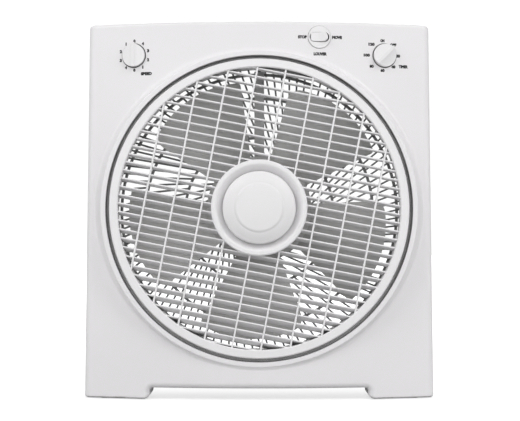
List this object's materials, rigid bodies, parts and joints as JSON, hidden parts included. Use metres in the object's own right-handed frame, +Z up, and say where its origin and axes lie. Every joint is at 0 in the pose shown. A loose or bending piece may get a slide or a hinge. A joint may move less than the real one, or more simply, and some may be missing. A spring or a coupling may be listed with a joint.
{
  "type": "box fan",
  "caption": "Upright box fan on two front legs, with a round louver that turns slowly in front of the blades, speed and timer dials, and a louver switch.",
  "frame": {"origin": "under the middle of the fan, on the surface it stands on (centre of the bounding box's bottom)", "axes": "+X to the right seen from the front, +Y from the front to the back along the fan's axis, +Z up"},
  "size_m": [0.392, 0.1356, 0.42],
  "materials": {
    "casing_white": "satin, very fine grain",
    "louver_white": "satin",
    "blade_grey": "satin, translucent grey tint",
    "guard_grey": "fine grain",
    "channel_grey": "satin",
    "control_white": "satin gloss",
    "inner_plastic": "as moulded",
    "motor_case": "zinc plated",
    "pad_rubber": "matt",
    "tyre_rubber": "matt",
    "lead_sleeve": "smooth",
    "screw_steel": "zinc plated",
    "shaft_steel": "ground",
    "core_steel": "laminated, varnished",
    "bracket_aluminium": "die cast",
    "winding_copper": "enamelled wire",
    "bush_bronze": "sintered"
  },
  "bodies": {
    "casing": {"front_casing": "casing_white", "rear_casing": "casing_white", "rear_guard": "guard_grey", "wire_channel_cover": "channel_grey", "cord_inlet_bush": "pad_rubber", "foot_pads": "pad_rubber", "casing_screws": "screw_steel", "guard_screws": "screw_steel", "louver_clips": "control_white", "louver_clip_screws": "screw_steel", "louver_motor": "motor_case", "louver_motor_screws": "screw_steel", "motor_front_bracket": "bracket_aluminium", "motor_rear_bracket": "bracket_aluminium", "front_bearing_bush": "bush_bronze", "rear_bearing_bush": "bush_bronze", "stator_core": "core_steel", "stator_windings": "winding_copper", "motor_through_bolts": "screw_steel", "motor_mount_screws": "screw_steel", "motor_cover": "inner_plastic", "motor_lead": "lead_sleeve", "run_capacitor": "inner_plastic", "terminal_block": "inner_plastic", "speed_switch": "inner_plastic", "timer_case": "inner_plastic", "rocker_bezel": "control_white"},
    "louver": {"louver_grille": "louver_white", "louver_hub_cap": "louver_white"},
    "louver_roller": {"louver_motor_shaft": "shaft_steel", "roller_hub": "inner_plastic", "roller_tyre": "tyre_rubber"},
    "fan": {"fan_blade": "blade_grey", "blade_nut": "inner_plastic", "motor_shaft": "shaft_steel", "rotor_core": "core_steel", "drive_pin": "shaft_steel"},
    "speed_dial": {"speed_knob": "control_white", "speed_shaft": "shaft_steel"},
    "timer_dial": {"timer_knob": "control_white", "timer_shaft": "shaft_steel"},
    "rocker": {"louver_rocker": "control_white"}
  },
  "joints": [
    {"name": "fan_spin", "type": "hinge", "parent": "casing", "child": "fan", "pos_m": [0, 0, 0.212], "axis": [0, 1, 0], "continuous": true},
    {"name": "louver_turn", "type": "hinge", "parent": "casing", "child": "louver", "pos_m": [0, 0, 0.212], "axis": [0, 1, 0], "continuous": true},
    {"name": "roller_spin", "type": "hinge", "parent": "casing", "child": "louver_roller", "pos_m": [-0.06286, 0, 0.38472], "axis": [0, 1, 0], "continuous": true},
    {"name": "speed_turn", "type": "hinge", "parent": "casing", "child": "speed_dial", "pos_m": [-0.1406, -0.04154, 0.3832], "axis": [0.148, 0.989, 0], "continuous": true},
    {"name": "timer_turn", "type": "hinge", "parent": "casing", "child": "timer_dial", "pos_m": [0.1406, -0.04154, 0.3832], "axis": [-0.148, 0.989, 0], "range_deg": [-45, 270]},
    {"name": "rocker_tilt", "type": "hinge", "parent": "casing", "child": "rocker", "pos_m": [0.06679, -0.04664, 0.4023], "axis": [0, 0, 1], "range_deg": [0, 18]}
  ],
  "couplings": [
    {"joint": "roller_spin", "follows": "louver_turn", "ratio": -19.389}
  ]
}
